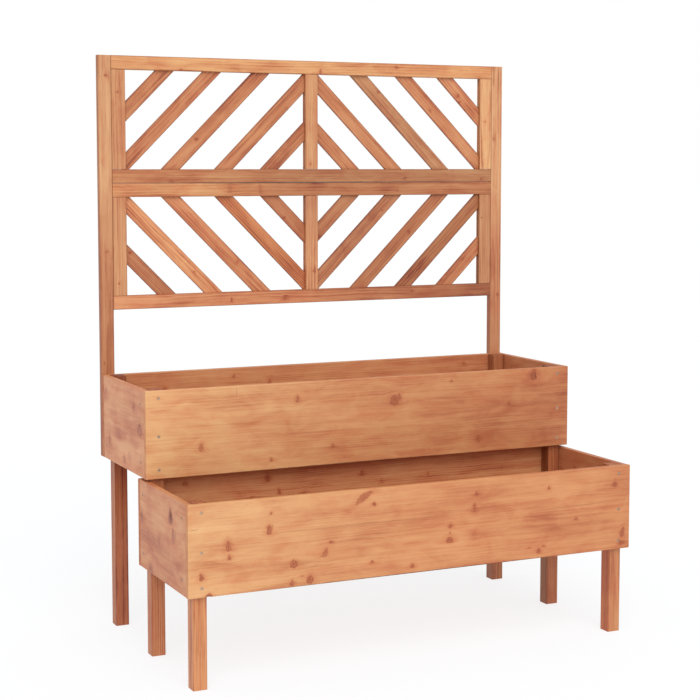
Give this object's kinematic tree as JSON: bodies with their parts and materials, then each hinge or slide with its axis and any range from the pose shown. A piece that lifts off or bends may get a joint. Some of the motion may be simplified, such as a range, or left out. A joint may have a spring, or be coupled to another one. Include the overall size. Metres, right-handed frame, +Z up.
{
  "type": "planter with trellis",
  "caption": "Two-tier wooden planter: two long open boxes in steps on square legs, with a lattice trellis of diagonal slats on posts behind the upper box.",
  "frame": {"origin": "on the ground, under the middle of the overall box", "axes": "+Z up, +Y towards the back and the trellis, +X to the right seen from the front"},
  "size_m": [1.1, 0.6228, 1.362],
  "materials": {
    "long_boards": "translucent reddish-brown stain on knotty softwood, satin",
    "side_boards": "translucent reddish-brown stain on knotty softwood, satin",
    "legs": "translucent reddish-brown stain on softwood, satin",
    "posts": "translucent reddish-brown stain on softwood, satin",
    "lattice": "translucent reddish-brown stain on softwood, satin",
    "bottom": "stained softwood, dull",
    "screws": "plated countersunk screws with a cross recess"
  },
  "bodies": {
    "root": {"front_left_leg": "legs", "front_right_leg": "legs", "left_trellis_post": "posts", "lower_back_batten": "bottom", "lower_back_board": "long_boards", "lower_bottom_panel": "bottom", "lower_front_batten": "bottom", "lower_front_board": "long_boards", "lower_left_bottom_screw": "screws", "lower_left_middle_screw": "screws", "lower_left_side_board": "side_boards", "lower_left_slat_1": "lattice", "lower_left_slat_2": "lattice", "lower_left_slat_3": "lattice", "lower_left_slat_4": "lattice", "lower_left_slat_5": "lattice", "lower_left_top_screw": "screws", "lower_right_bottom_screw": "screws", "lower_right_middle_screw": "screws", "lower_right_side_board": "side_boards", "lower_right_slat_1": "lattice", "lower_right_slat_2": "lattice", "lower_right_slat_3": "lattice", "lower_right_slat_4": "lattice", "lower_right_slat_5": "lattice", "lower_right_top_screw": "screws", "lower_trellis_bottom_rail": "lattice", "lower_trellis_centre_stile": "lattice", "lower_trellis_left_stile": "lattice", "lower_trellis_right_stile": "lattice", "lower_trellis_top_rail": "lattice", "middle_left_leg": "legs", "middle_right_leg": "legs", "rear_left_leg": "legs", "rear_right_leg": "legs", "right_trellis_post": "posts", "upper_back_batten": "bottom", "upper_back_board": "long_boards", "upper_bottom_panel": "bottom", "upper_front_batten": "bottom", "upper_front_board": "long_boards", "upper_left_screw": "screws", "upper_left_side_board": "side_boards", "upper_left_slat_1": "lattice", "upper_left_slat_2": "lattice", "upper_left_slat_3": "lattice", "upper_left_slat_4": "lattice", "upper_left_slat_5": "lattice", "upper_right_screw": "screws", "upper_right_side_board": "side_boards", "upper_right_slat_1": "lattice", "upper_right_slat_2": "lattice", "upper_right_slat_3": "lattice", "upper_right_slat_4": "lattice", "upper_right_slat_5": "lattice", "upper_trellis_bottom_rail": "lattice", "upper_trellis_centre_stile": "lattice", "upper_trellis_left_stile": "lattice", "upper_trellis_right_stile": "lattice", "upper_trellis_top_rail": "lattice"}
  },
  "joints": []
}
